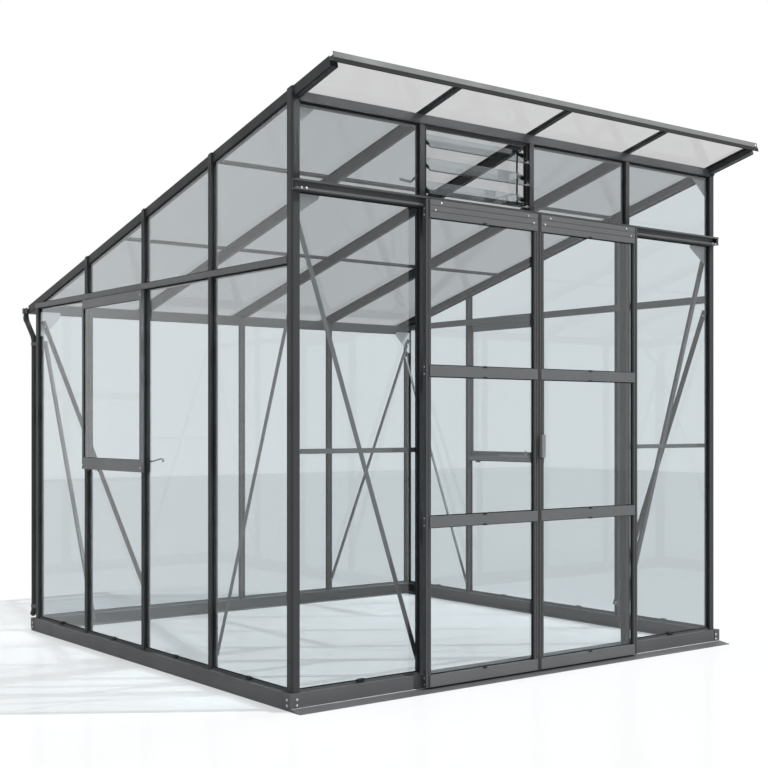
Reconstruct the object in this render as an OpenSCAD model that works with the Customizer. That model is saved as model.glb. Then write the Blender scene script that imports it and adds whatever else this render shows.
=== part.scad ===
// Glass greenhouse with a single-pitch roof and a double sliding door.
// Powder-coated aluminium bars hold sheets of clear glass in grooves.
// X runs along the front, Y from the front to the back, Z up, in millimetres.

/* [Base] */
// Width of the base over its outer faces
base_w = 2570; // [2300:10:3000]
// Depth of the base over its outer faces
base_d = 2570; // [2300:10:3000]
// Height of the base rails
base_h = 67; // [50:1:80]
// Plate thickness of the base rails
base_t = 3; // [2:0.5:4]
// How far the base rails reach inside the bars
base_inner_reach = 4; // [2:1:10]
// Height of the glazing upstand above the base rails
upstand_h = 9; // [9:1:24]
// Wall thickness of the glazing upstand
upstand_wall = 4; // [3:0.5:6]
// Leg length of the base corner plates
corner_plate_leg = 34; // [24:1:50]
// Thickness of the base corner plates
corner_plate_t = 2; // [1:0.5:2.5]
// Height of the corner plates' lower edge, over the threshold strip
corner_plate_z = 14; // [13:1:25]
// How far the threshold strip reaches in front of the base
sill_reach = 68; // [50:1:90]
// Height of the threshold strip where it meets the base
sill_h = 11; // [5:0.5:12]
// Thickness of the threshold strip at its front edge
sill_tip_h = 2; // [1:0.5:3]

/* [Bars and glass] */
// Step from the outer face of the base to the outer face of the bars
wall_inset = 16; // [12:1:24]
// Width of the glazing bars
bar_w = 25; // [24:1:32]
// Depth of the bars and of the corner posts, outside to inside
bar_d = 36; // [34:1:44]
// Depth of the bar's outer cap, in front of the glass
bar_cap_d = 12; // [9:1:14]
// Radius of the rounded edge of the corner posts
corner_r = 9; // [4:1:11]
// Thickness of the glass
glass_t = 4; // [3:0.5:5]
// Play on each face of the glass in its groove
glass_play = 0.4; // [0.3:0.1:0.6]
// Depth of the glazing grooves
groove_d = 8; // [6:0.5:9]
// Gap between the edge of a pane and the bottom of its groove
glass_edge_gap = 0.8; // [0.4:0.1:0.9]
// Width of the bolt slot in the inner face of the bars
slot_w = 7; // [5:0.5:8]
// Width of the slot's hollow behind its lips
slot_hollow_w = 13; // [11:0.5:15]
// Depth of the slot's hollow
slot_hollow_d = 6; // [4:0.5:8]
// Thickness of the slot's lips
slot_lip = 2.5; // [2:0.5:4]
// Bays in each side wall
side_bays = 4; // [4:1:6]

/* [Roof] */
// Height of the roof bars' top at the outer face of the front bars
roof_front_z = 2417; // [2350:1:2600]
// Pitch of the roof, in degrees
roof_pitch = 14; // [8:0.5:16]
// How far the roof bars reach in front of the base
roof_front_reach = 224; // [150:1:350]
// How far the roof bars reach behind the base
roof_back_reach = 102; // [90:1:160]
// Depth of the roof bars, square to the roof
rafter_d = 40; // [36:1:60]
// Depth of the inner roof bars over the head beam and in front of it
overhang_d = 18.5; // [17:0.5:30]
// Height of the roof bars' cap over the glass
rafter_cap_d = 10; // [8:1:14]
// Width of the two edge bars of the roof
edge_rafter_w = 36; // [34:1:46]
// Step from the outer face of the side bars to the roof's edge bars
edge_rafter_step = 8; // [6:1:9]
// Length of one roof pane
roof_pane_l = 945; // [800:5:1100]
// Width of the strips between the roof panes
strip_w = 26; // [22:1:34]
// Plate thickness of the strips
strip_t = 3; // [2:0.5:4]
// How far the roof glass reaches over the gutter's front wall
drip_reach = 6; // [4:1:12]
// Height of the front cap's plate
cap_h = 33; // [28:1:45]
// Plate thickness of the front cap
cap_t = 3; // [2:0.5:4]
// Depth of the front cap's channel
cap_depth = 26; // [20:1:40]
// How far the cap's plate stands above the roof bars
cap_rise = 6; // [0:1:10]

/* [Rails and beams] */
// How far the eave rails' top stays below the roof bars' top at the back
eave_drop = 27; // [20:1:40]
// Height of the side walls' eave rails at their outer face
eave_rail_h = 25; // [22:1:40]
// How far the eave rails' inner lips hang down behind the glass
eave_lip = 9; // [5:0.5:12]
// How far the eave rails stand in front of the bars
eave_rail_proud = 2; // [0:0.5:4]
// Height of the back eave beam
back_beam_h = 42; // [32:1:60]
// Height of the front head beam at its outer face
head_beam_h = 37; // [30:1:60]
// How far the head beam's inner lip hangs down behind the glass
head_lip = 13; // [5:0.5:20]
// How far the front head beam stands in front of the bars
head_beam_proud = 3; // [0:0.5:4]
// Height of the lights between the head beam and the front transoms
upper_light_h = 309; // [250:1:400]
// Height of the front transoms
transom_h = 42; // [30:1:50]
// Height of the inner cross bars in the fixed front bays
mid_bar_z = 1000; // [800:5:1200]
// Width of the inner cross bars and of the braces
flat_bar_w = 20; // [15:1:30]
// Thickness of the cross bars, braces and gusset plates
flat_bar_t = 3; // [2:0.5:5]
// Width of the front gusset plates
front_gusset_w = 108; // [60:1:130]
// Height of the front gusset plates
front_gusset_h = 100; // [60:1:120]
// Width of the gusset plates under the front transoms
low_gusset_w = 130; // [80:1:150]
// Height of the gusset plates under the front transoms
low_gusset_h = 92; // [70:1:120]
// Width of the back gusset plates
back_gusset_w = 110; // [80:1:150]
// Height of the back gusset plates
back_gusset_h = 120; // [90:1:160]
// How far the gusset plates lap the beams
gusset_lap = 10; // [6:1:12]
// Straight edge at the two ends of a gusset plate
gusset_edge = 14; // [10:1:30]
// Height of the braces' lower ends above the base
brace_foot = 60; // [40:5:120]
// Distance of the braces' upper ends below the rail or beam over them
brace_head = 40; // [30:5:60]
// Distance of the back bays' side braces below the back gusset plates
brace_drop = 30; // [25:1:60]

/* [Gutter and downpipe] */
// Width of the gutter
gutter_w = 66; // [50:1:90]
// Height of the gutter's back wall
gutter_h = 30; // [24:1:45]
// How far the gutter's front wall stays below its back wall
gutter_front_drop = 12; // [6:1:16]
// How far the gutter's top stays below the top of the roof bars
gutter_drop = 10; // [2:1:12]
// Wall thickness of the gutter
gutter_t = 2.5; // [1.5:0.5:4]
// Radius of the downpipe
pipe_r = 14; // [12:0.5:20]
// Wall thickness of the downpipe
pipe_t = 1.5; // [1:0.25:3]
// Radius of the elbows' bends
pipe_bend_r = 30; // [26:1:60]
// How far the elbows stand proud of the downpipe
elbow_proud = 1.5; // [1:0.25:3]
// Gap between the elbows and the lengths of pipe
elbow_gap = 0.2; // [0.1:0.1:0.4]
// Turn of the two bends under the gutter, in degrees
pipe_bend_angle = 45; // [35:1:60]
// Gap between the base and the downpipe
pipe_gap = 8; // [5:1:15]
// Distance of the downpipe from the side of the base
pipe_side = 24; // [18:1:60]
// Length of the spigot under the gutter
pipe_spigot = 18; // [10:1:40]
// Height of the downpipe's lower bend above the ground
pipe_foot_z = 110; // [90:5:200]
// Turn of the bend at the foot, in degrees
pipe_foot_angle = 60; // [30:5:80]
// Height of the clips that hold the downpipe
clip_h = 18; // [12:1:30]
// Thickness of the clips
clip_t = 2.5; // [2:0.5:4]
// Play between the downpipe and its clips
clip_play = 0.3; // [0.2:0.1:0.5]
// Distance of the clips from the downpipe's bends
clip_bend_gap = 8; // [4:2:100]

/* [Sliding door] */
// Gap between the front face of the base and the back of the leaves
leaf_gap = 7; // [7:0.5:14]
// Depth of the leaves' stiles
leaf_d = 23; // [20:0.5:32]
// Half of the gap between the two closed leaves
meeting_half = 2.5; // [2.5:0.5:5]
// How far each closed leaf laps past the middle of its jamb
leaf_lap = 17; // [13:1:25]
// Height of the leaves' lower edge above the ground
leaf_z = 17; // [16:1:24]
// Width of the leaves' stiles
stile_w = 26; // [22:1:40]
// Width of the line along the stiles and top rails
line_w = 3; // [2:0.5:5]
// Depth of the line along the stiles and top rails
line_d = 1.5; // [0.5:0.5:2.5]
// Depth of the glazing groove from the front face of the stiles
leaf_glass_in = 14; // [10:0.5:15]
// How far the rails stand in front of the stiles
rail_proud = 3; // [2:0.5:5]
// How far the rails lap the outer stiles
rail_lap_out = 6; // [4:1:16]
// How far the rails lap the meeting stiles
rail_lap_in = 17; // [4:1:20]
// Height of the leaves' top rails
leaf_top_h = 75; // [66:1:95]
// Height of the leaves' middle rails
leaf_mid_h = 46; // [36:1:60]
// Height of the leaves' bottom rails
leaf_bottom_h = 48; // [36:1:60]
// Height of the leaves' middle panes
leaf_mid_pane_h = 582; // [450:2:700]
// Gap between the leaves' upper ends and the front of the track
hanger_clear = 6; // [5:0.5:7]
// How far the leaves rise over the underside of the track
hanger_rise = 26; // [22:1:30]
// Gap between the leaf's body and the underside of the track
track_clear = 12; // [8:1:20]
// Step from the underside of the transoms up to the track
track_lift = 4; // [0:1:10]
// Height of the track
track_h = 40; // [36:1:50]
// How far the track stands in front of the bars
track_d = 28; // [24:1:32]
// Plate thickness of the track
track_t = 4; // [3:0.5:5]
// Height of the track's front lips
track_lip = 4; // [3:0.5:6]
// Radius of the rollers
roller_r = 11; // [9:0.5:13]
// Thickness of the rollers
roller_w = 8; // [6:0.5:10]
// Radius of the rollers' axles
axle_r = 4; // [3:0.5:5]
// Distance of the rollers from the ends of the leaf
roller_inset = 70; // [50:1:140]
// Rolling gap under the rollers
roller_gap = 0.3; // [0.2:0.1:0.5]
// Height of the middle of the handle
handle_z = 1010; // [900:5:1150]
// Width of the handle plate
handle_w = 24; // [18:1:28]
// Height of the handle plate
handle_h = 102; // [80:1:140]
// Thickness of the handle plate
handle_t = 3; // [2:0.5:5]
// Depth of the grip in front of the plate
handle_grip = 14; // [10:1:30]
// Thickness of the grip
handle_grip_w = 6; // [4:0.5:10]

/* [Side windows] */
// Bay of the window, counted from the front
window_bay = 3; // [2:1:4]
// Height of the window's lower edge
window_z = 885; // [700:5:1100]
// Width of the window's stiles
window_stile_w = 17; // [14:1:30]
// Height of the window's top rail
window_top_h = 42; // [25:1:60]
// Height of the window's bottom rail
window_bottom_h = 57; // [40:1:70]
// Depth of the window's frame
window_d = 14; // [12:1:20]
// Height of the sill bar behind the window's bottom rail
window_sill_h = 25; // [24:1:40]
// Step from the window's lower edge up to the sill bar
window_sill_lift = 5; // [2:1:10]
// Gap between the window frame and the bars
window_gap = 0.3; // [0.2:0.1:0.5]
// Gap over the window, under the eave rail
window_top_gap = 6; // [2:0.5:8]
// Length of the window stay
stay_l = 230; // [150:5:300]
// Height of the window stay's bar
stay_h = 10; // [8:1:16]
// Width of the stay's arm
stay_arm_w = 12; // [8:1:20]
// Inner radius of the stay's curled end
stay_curl_r = 12; // [8:1:16]

/* [Louvre window] */
// Blades in the louvre window
louvre_count = 3; // [3:1:5]
// Width of one blade
blade_w = 100; // [60:1:110]
// Lean of the blades from upright, in degrees
blade_lean = 46; // [20:1:50]
// Width of the louvre's side channels
louvre_channel_w = 14; // [10:1:20]
// Depth of the louvre's side channels
louvre_channel_d = 22; // [16:1:24]
// Length of a blade clip along the blade's edge
blade_clip_l = 60; // [40:1:60]
// Thickness of a blade clip
blade_clip_t = 9; // [8:0.5:12]
// How far a blade reaches into its clips
blade_bite = 7; // [4:0.5:8]

/* [Hidden] */
$fn = 32;

frame_paint = "#4a4b4c";
base_paint = "#5e5f60";
glass_tint = [0.80, 0.86, 0.88, 0.45];
black_plastic = "#1c1d1e";
bright_zinc = "#c9cbcc";

tiny = 0.01;
over = 1;
far = 2 * (base_w + base_d);
half_w = base_w / 2;
groove_w = glass_t + 2 * glass_play;
glass_in = bar_cap_d + glass_play;
glass_bite = groove_d - glass_edge_gap;
corner_w = bar_d;
base_rail_d = wall_inset + bar_d + base_inner_reach;
wall_edge = wall_inset + corner_w / 2;
front_pitch = (base_w - 2 * wall_edge) / 4;
side_pitch = (base_d - 2 * wall_edge) / side_bays;
inner_face = wall_inset + bar_d;
behind_glass = wall_inset + bar_cap_d + groove_w;

// The roof's own axes: s runs down the slope from the front ends of the bars, n goes into the roof.
roof_s_y = -roof_front_reach;
roof_s_z = roof_front_z + (wall_inset + roof_front_reach) * tan(roof_pitch);
roof_back_y = base_d + roof_back_reach;
function roof_z(y, n) = roof_front_z - (y - wall_inset) * tan(roof_pitch) - n / cos(roof_pitch);
function roof_point(s, n) = [
    roof_s_y + s * cos(roof_pitch) - n * sin(roof_pitch),
    roof_s_z - s * sin(roof_pitch) - n * cos(roof_pitch)];
function roof_s_at(y, n) = (y - roof_s_y + n * sin(roof_pitch)) / cos(roof_pitch);
roof_glass_n = rafter_cap_d + glass_play;
roof_edge_in = wall_inset + edge_rafter_step;

eave_top = roof_z(base_d - wall_inset, 0) - eave_drop;
eave_under = eave_top - eave_rail_h;
head_under = roof_z(wall_inset, overhang_d) - head_beam_h;
back_under = roof_z(base_d - wall_inset, rafter_d) - back_beam_h;
transom_z = head_under - upper_light_h - transom_h;
transom_top = transom_z + transom_h;
pane_foot = base_h + upstand_h - groove_d + glass_edge_gap;

// Middle of the model's box, front cap to gutter, which lies over the origin.
cap_front_y = roof_point(-cap_depth - cap_t, cap_h - cap_rise)[0];
gutter_back_y = roof_back_y + gutter_w;
center_y = (cap_front_y + gutter_back_y) / 2;

function front_x(i) = -half_w + wall_edge + i * front_pitch;
function side_y(i) = wall_edge + i * side_pitch;
function half_bar(i, last) = (i == 0 || i == last) ? corner_w / 2 : bar_w / 2;

function side_pane_y0(i) = side_y(i) + half_bar(i, side_bays) - glass_bite;
function side_pane_y1(i) = side_y(i + 1) - half_bar(i + 1, side_bays) + glass_bite;
function roof_bay_x0(i) = i == 0 ? -half_w + roof_edge_in + edge_rafter_w : front_x(i) + bar_w / 2;
function roof_bay_x1(i) = i == 3 ? half_w - roof_edge_in - edge_rafter_w : front_x(i + 1) - bar_w / 2;
function strip_s(row) = row * roof_pane_l;

// Gutter behind the roof, and the downpipe from its outlet to the ground.
gutter_top = roof_z(roof_back_y, 0) - gutter_drop;
gutter_x = half_w - wall_inset;
pipe_x = -half_w + pipe_side;
pipe_y = base_d + pipe_gap + pipe_r;
outlet_y = roof_back_y + gutter_w / 2;
outlet_z = gutter_top - gutter_h;
neck_shift = outlet_y - pipe_y;
neck_run = (neck_shift - 2 * pipe_bend_r * (1 - cos(pipe_bend_angle))) / sin(pipe_bend_angle);
neck_drop = 2 * pipe_bend_r * sin(pipe_bend_angle) + neck_run * cos(pipe_bend_angle);
neck_end_z = outlet_z - pipe_spigot - neck_drop;

// Ends of the diagonal braces; at a corner they stay clear of the other wall's glass.
brace_corner = behind_glass + glass_play + flat_bar_w / 2;
brace_foot_z = base_h + brace_foot;
back_brace_z = back_under - back_gusset_h - brace_drop;

// Side windows, in front of the bars on both sides of their bay.
window_i = window_bay - 1;
window_y0 = side_y(window_i) - bar_w / 2;
window_y1 = side_y(window_i + 1) + bar_w / 2;
window_z1 = eave_under - window_top_gap;
window_x = -half_w + wall_inset - window_gap - window_d;
window_glass_in = (window_d - glass_t) / 2;

// Louvre window, between the left jamb and the mullion.
louvre_x0 = front_x(1) + bar_w / 2;
louvre_x1 = front_x(2) - bar_w / 2;
louvre_top = head_under - head_lip;
louvre_pitch = (louvre_top - transom_top) / louvre_count;
louvre_y = wall_inset + bar_d / 2;

// Door leaves in front of the wall, hung from the track.
leaf_back_y = -leaf_gap;
leaf_front_y = leaf_back_y - leaf_d;
rail_front_y = leaf_front_y - rail_proud;
leaf_w = front_pitch + leaf_lap - meeting_half;
track_z = transom_z + track_lift;
leaf_top_z = track_z + hanger_rise;
track_front_y = wall_inset - track_d;
hanger_back_y = track_front_y - hanger_clear;
leaf_body_top = track_z - track_clear;
leaf_top_rail_z = leaf_top_z - leaf_top_h;
leaf_end_pane_h = (leaf_top_rail_z - leaf_z - leaf_bottom_h - 2 * leaf_mid_h - leaf_mid_pane_h) / 2;
roller_z = track_z + track_t + roller_gap + roller_r;
leaf_glass_y = leaf_front_y + leaf_glass_in;
leaf_outer_x = meeting_half + leaf_w;
leaf_rail_x0 = -leaf_outer_x + stile_w;
leaf_rail_l = leaf_w - 2 * stile_w;
function leaf_pane_h(k) = k == 1 ? leaf_mid_pane_h : leaf_end_pane_h;
function leaf_pane_z(k) =
    k == 0 ? leaf_z + leaf_bottom_h : leaf_pane_z(k - 1) + leaf_pane_h(k - 1) + leaf_mid_h;

// Moves the model so that the middle of its box stands over the origin.
module placed() {
    translate([0, -center_y, 0]) children();
}

// Carries an outline drawn in Y and Z along X.
module along_x(x0, length) {
    translate([x0, 0, 0]) rotate([90, 0, 90]) linear_extrude(length) children();
}

// Carries an outline drawn in X and Z along Y.
module along_y(y0, length) {
    translate([0, y0 + length, 0]) rotate([90, 0, 0]) linear_extrude(length) children();
}

// Draws the left copy and its mirror image on the right.
module both_sides() {
    children();
    mirror([1, 0, 0]) children();
}

// Bar section: outer cap, a glazing groove on each side, and a bolt slot on the inner face.
module bar_section() {
    difference() {
        translate([-bar_w / 2, 0]) square([bar_w, bar_d]);
        for (side = [-1, 1])
            translate([side > 0 ? bar_w / 2 - groove_d : -bar_w / 2, bar_cap_d])
                square([groove_d, groove_w]);
        translate([-slot_w / 2, bar_d - slot_lip]) square([slot_w, slot_lip]);
        translate([-slot_hollow_w / 2, bar_d - slot_lip - slot_hollow_d])
            square([slot_hollow_w, slot_hollow_d]);
    }
}

// Corner post section, with its outer corner at the origin and the two walls along +X and +Y.
module corner_section() {
    difference() {
        union() {
            translate([corner_r, 0]) square([corner_w - corner_r, corner_w]);
            translate([0, corner_r]) square([corner_w, corner_w - corner_r]);
            translate([corner_r, corner_r]) circle(corner_r);
        }
        translate([corner_w - groove_d, bar_cap_d]) square([groove_d, groove_w]);
        translate([bar_cap_d, corner_w - groove_d]) square([groove_w, groove_d]);
    }
}

// Upright bars of the front, back or left wall, from z0 to z1.
module front_bar(i, z0, z1) {
    translate([front_x(i), wall_inset, z0]) linear_extrude(z1 - z0) bar_section();
}

module back_bar(i, z0, z1) {
    translate([front_x(i), base_d - wall_inset, z0]) rotate([0, 0, 180])
        linear_extrude(z1 - z0) bar_section();
}

module left_bar(i, z0, z1) {
    translate([-half_w + wall_inset, side_y(i), z0]) rotate([0, 0, -90])
        linear_extrude(z1 - z0) bar_section();
}

// Space over the roof bars' top at the outer caps, and over their underside further in.
module roof_space() {
    along_x(-half_w, wall_inset + edge_rafter_step)
        polygon([[-far, roof_z(-far, 0)], [far, roof_z(far, 0)], [far, far], [-far, far]]);
    along_x(-half_w + wall_inset + edge_rafter_step, base_w - 2 * (wall_inset + edge_rafter_step))
        polygon([[-far, roof_z(-far, rafter_d)], [far, roof_z(far, rafter_d)], [far, far], [-far, far]]);
}

// Spaces of the inner lips of the head beam and of the left eave rail, which the bars leave free.
module head_lip_space() {
    along_x(-half_w, base_w)
        translate([behind_glass, head_under - head_lip]) square([bar_d, head_lip + over]);
}

module eave_lip_space() {
    translate([-half_w, 0, 0]) along_y(0, base_d)
        translate([behind_glass, eave_under - eave_lip]) square([bar_d, eave_lip + over]);
}

// Space of the left edge bar of the roof.
module edge_rafter_space() {
    along_x(-half_w + roof_edge_in, edge_rafter_w) rafter_outline(0, rafter_d);
}

// Base rail section: a channel open to the inside, its outer face on the Y axis.
module base_section() {
    difference() {
        square([base_rail_d, base_h]);
        translate([base_t, base_t]) square([base_rail_d, base_h - 2 * base_t]);
    }
}

// Glazing upstand on a base rail: two walls and the groove between them.
module upstand_section() {
    lip = wall_inset + bar_cap_d - upstand_wall;
    difference() {
        translate([lip, base_h - base_t]) square([groove_w + 2 * upstand_wall, upstand_h + base_t]);
        translate([wall_inset + bar_cap_d, base_h + upstand_h - groove_d]) square([groove_w, groove_d]);
    }
}

// Front or back base rail, from outer corner to outer corner, with an upstand in the bays given.
module cross_base(bays) {
    along_x(-half_w, base_w) base_section();
    for (i = bays) {
        x0 = front_x(i) + half_bar(i, 4);
        x1 = front_x(i + 1) - half_bar(i + 1, 4);
        along_x(x0, x1 - x0) upstand_section();
    }
}

// Left base rail, between the front and the back one.
module side_base() {
    translate([-half_w, 0, 0]) {
        along_y(base_rail_d, base_d - 2 * base_rail_d) base_section();
        for (i = [0 : side_bays - 1]) {
            y0 = max(base_rail_d, side_y(i) + half_bar(i, side_bays));
            y1 = min(base_d - base_rail_d, side_y(i + 1) - half_bar(i + 1, side_bays));
            along_y(y0, y1 - y0) upstand_section();
        }
    }
}

module base_front() color(base_paint) placed() {
    cross_base([0, 3]);
}

module base_back() color(base_paint) placed() {
    translate([0, base_d, 0]) mirror([0, 1, 0]) cross_base([0, 1, 2, 3]);
}

module base_left() color(base_paint) placed() side_base();

module base_right() color(base_paint) placed() mirror([1, 0, 0]) side_base();

// Angle plates bolted round the outer corners of the base.
module base_corner_plates() color(base_paint) placed() both_sides() for (back = [0, 1]) {
    translate([0, back * base_d, 0]) mirror([0, back, 0]) translate([-half_w, 0, corner_plate_z])
        linear_extrude(base_h - corner_plate_z) difference() {
            translate([-corner_plate_t, -corner_plate_t])
                square(corner_plate_leg + corner_plate_t);
            square(corner_plate_leg + tiny);
        }
}

// Low ramp in front of the base that the leaves pass over.
module door_sill() color(base_paint) placed() {
    along_x(-half_w, base_w)
        polygon([[0, 0], [-sill_reach, 0], [-sill_reach, sill_tip_h], [-base_t, sill_h], [0, sill_h]]);
}

// Corner posts, cut off under the roof's edge bars; the outer cap runs on over the bar's face.
module front_corner_posts() color(frame_paint) placed() difference() {
    both_sides() translate([-half_w + wall_inset, wall_inset, base_h])
        linear_extrude(roof_front_z - base_h) corner_section();
    roof_space();
}

// The back posts stop under the eave rails.
module back_corner_posts() color(frame_paint) placed() both_sides() {
    difference() {
        translate([-half_w + wall_inset, base_d - wall_inset, base_h]) mirror([0, 1, 0])
            linear_extrude(eave_under - base_h) corner_section();
        eave_lip_space();
    }
}

// Two jambs from the base to the head beam, and a short mullion over the doorway.
module front_posts() color(frame_paint) placed() difference() {
    union() {
        for (i = [1, 3])
            front_bar(i, base_h, head_under);
        front_bar(2, transom_top, head_under);
    }
    head_lip_space();
}

// Bars of the left wall: below the eave rail, and above it up to the roof.
module side_posts() {
    difference() {
        for (i = [1 : side_bays - 1])
            left_bar(i, base_h, eave_under);
        eave_lip_space();
    }
    difference() {
        for (i = [1 : side_bays - 1])
            left_bar(i, eave_top, roof_front_z);
        roof_space();
    }
}

module left_wall_posts() color(frame_paint) placed() side_posts();

module right_wall_posts() color(frame_paint) placed() mirror([1, 0, 0]) side_posts();

module back_wall_posts() color(frame_paint) placed() {
    for (i = [1 : 3])
        back_bar(i, base_h, back_under);
}

// Level rail of each side wall: grooved above and below, with a lip behind the glass, and notched
// at the back under the roof's edge bar.
module eave_rails() color(frame_paint) placed() both_sides() difference() {
    translate([-half_w, 0, 0]) along_y(inner_face, base_d - wall_inset - inner_face) difference() {
        union() {
            translate([wall_inset - eave_rail_proud, eave_under])
                square([bar_d + eave_rail_proud, eave_rail_h]);
            translate([behind_glass, eave_under - eave_lip])
                square([inner_face - behind_glass, eave_lip + over]);
        }
        translate([wall_inset + bar_cap_d, eave_under]) square([groove_w, groove_d]);
        translate([wall_inset + bar_cap_d, eave_top - groove_d]) square([groove_w, groove_d]);
    }
    edge_rafter_space();
}

// Beam over the back wall, its top sloped to seat the roof bars.
module back_eave_beam() color(frame_paint) placed() {
    outer = base_d - wall_inset;
    along_x(-half_w + inner_face, base_w - 2 * inner_face) difference() {
        polygon([[outer - bar_d, back_under], [outer, back_under],
            [outer, roof_z(outer, rafter_d)], [outer - bar_d, roof_z(outer - bar_d, rafter_d)]]);
        translate([outer - bar_cap_d - groove_w, back_under]) square([groove_w, groove_d]);
    }
}

// Beam over the front wall: its top sloped to seat the roof bars, with a lip behind the glass.
module front_head_beam() color(frame_paint) placed() difference() {
    outer = wall_inset - head_beam_proud;
    along_x(-half_w + inner_face, base_w - 2 * inner_face) difference() {
        polygon([[outer, head_under], [behind_glass, head_under], [behind_glass, head_under - head_lip],
            [inner_face, head_under - head_lip], [inner_face, roof_z(inner_face, overhang_d)],
            [outer, roof_z(outer, overhang_d)]]);
        translate([wall_inset + bar_cap_d, head_under]) square([groove_w, groove_d]);
    }
    both_sides() edge_rafter_space();
}

// Transoms between the front bars: one in each outer bay, and one over the doorway.
module front_transoms() color(frame_paint) placed() {
    for (span = [[0, 1], [1, 3], [3, 4]]) {
        x0 = front_x(span[0]) + half_bar(span[0], 4);
        x1 = front_x(span[1]) - half_bar(span[1], 4);
        along_x(x0, x1 - x0) difference() {
            translate([wall_inset, transom_z]) square([bar_d, transom_h]);
            translate([wall_inset + bar_cap_d, transom_z]) square([groove_w, groove_d]);
            translate([wall_inset + bar_cap_d, transom_top - groove_d]) square([groove_w, groove_d]);
        }
    }
}

// Door track: a channel open to the front, bolted to the faces of the bars.
module door_track() color(frame_paint) placed() {
    along_x(-half_w + wall_inset, base_w - 2 * wall_inset) difference() {
        translate([track_front_y, track_z]) square([track_d, track_h]);
        translate([track_front_y + track_t, track_z + track_t])
            square([track_d - 2 * track_t, track_h - 2 * track_t]);
        translate([track_front_y, track_z + track_t + track_lip])
            square([track_t, track_h - 2 * (track_t + track_lip)]);
    }
}

// Flat cross bars inside the two fixed front bays.
module front_mid_bars() color(frame_paint) placed() both_sides() {
    translate([front_x(0), inner_face, mid_bar_z - flat_bar_w / 2])
        cube([front_pitch, flat_bar_t, flat_bar_w]);
}

// Edge bars of the roof: a groove for the roof glass inside, and one below for the gable glass.
module gable_rafters() color(frame_paint) placed() both_sides() {
    x1 = -half_w + roof_edge_in + edge_rafter_w;
    gable_glass_x = -half_w + wall_inset + bar_cap_d;
    difference() {
        edge_rafter_space();
        along_x(x1 - groove_d, groove_d) rafter_outline(rafter_cap_d, rafter_cap_d + groove_w);
        along_x(gable_glass_x, groove_w) rafter_outline(rafter_d - groove_d, rafter_d + over);
    }
}

// Side view of a roof bar or groove, square at the front end and upright at the back.
module rafter_outline(n0, n1) {
    polygon([roof_point(0, n0), roof_point(roof_s_at(roof_back_y, n0), n0),
        roof_point(roof_s_at(roof_back_y, n1), n1), roof_point(0, n1)]);
}

// Inner bars of the roof: shallow over the head beam and the overhang, deep inside the walls.
module inner_rafters() color(frame_paint) placed() {
    for (i = [1 : 3])
        difference() {
            along_x(front_x(i) - bar_w / 2, bar_w)
                polygon([roof_point(0, 0), [roof_back_y, roof_z(roof_back_y, 0)],
                    [roof_back_y, roof_z(roof_back_y, rafter_d)], [inner_face, roof_z(inner_face, rafter_d)],
                    [inner_face, roof_z(inner_face, overhang_d)], roof_point(0, overhang_d)]);
            for (side = [0, 1])
                along_x(front_x(i) - bar_w / 2 + side * (bar_w - groove_d), groove_d)
                    rafter_outline(rafter_cap_d, rafter_cap_d + groove_w);
        }
}

// A slab of the roof, given along the slope and into the roof.
module roof_slab(x0, x1, s0, s1, n0, n1) {
    along_x(x0, x1 - x0)
        polygon([roof_point(s0, n0), roof_point(s1, n0), roof_point(s1, n1), roof_point(s0, n1)]);
}

// Strips that join the roof panes, grooved up and down the slope.
module roof_cross_strips() color(frame_paint) placed() {
    n0 = rafter_cap_d;
    n1 = rafter_cap_d + groove_w;
    for (i = [0 : 3], row = [1, 2]) {
        x0 = roof_bay_x0(i);
        x1 = roof_bay_x1(i);
        s0 = strip_s(row) - strip_w / 2;
        s1 = strip_s(row) + strip_w / 2;
        difference() {
            roof_slab(x0, x1, s0, s1, n0 - strip_t, n1 + strip_t);
            roof_slab(x0, x1, s0 - over, s0 + groove_d, n0, n1);
            roof_slab(x0, x1, s1 - groove_d, s1 + over, n0, n1);
        }
    }
}

// Channel over the front ends of the roof bars and glass.
module roof_front_cap() color(frame_paint) placed() {
    x0 = -half_w + roof_edge_in;
    x1 = half_w - roof_edge_in;
    n0 = rafter_cap_d;
    n1 = rafter_cap_d + groove_w;
    roof_slab(x0, x1, -cap_depth - cap_t, -cap_depth, -cap_rise, cap_h - cap_rise);
    roof_slab(x0, x1, -cap_depth, 0, n0 - cap_t, n0);
    roof_slab(x0, x1, -cap_depth, 0, n1, n1 + cap_t);
}

// Trough behind the roof bars' ends, closed at both ends, with an outlet at the left.
module gutter() color(frame_paint) placed() difference() {
    translate([-gutter_x, roof_back_y, gutter_top - gutter_h]) cube([2 * gutter_x, gutter_w, gutter_h]);
    translate([-gutter_x + gutter_t, roof_back_y + gutter_t, gutter_top - gutter_h + gutter_t])
        cube([2 * (gutter_x - gutter_t), gutter_w - 2 * gutter_t, gutter_h]);
    translate([-gutter_x + gutter_t, roof_back_y - tiny, gutter_top - gutter_front_drop])
        cube([2 * (gutter_x - gutter_t), gutter_w / 2, gutter_h]);
    translate([pipe_x, outlet_y, gutter_top - 2 * gutter_h])
        cylinder(h = 2 * gutter_h, r = pipe_r - pipe_t);
}

module pipe_ring(r) {
    difference() {
        circle(r);
        circle(pipe_r - pipe_t);
    }
}

// A length of pipe between two elbows, upwards from the origin.
module pipe_run(length) {
    translate([0, 0, elbow_gap]) linear_extrude(length - 2 * elbow_gap) pipe_ring(pipe_r);
}

// Elbow that starts at the origin going down and turns by an angle towards -Y.
module pipe_elbow(angle) {
    translate([0, -pipe_bend_r, 0]) rotate([-90, 0, 90])
        rotate_extrude(angle = angle) translate([pipe_bend_r, 0]) pipe_ring(pipe_r + elbow_proud);
}

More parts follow.
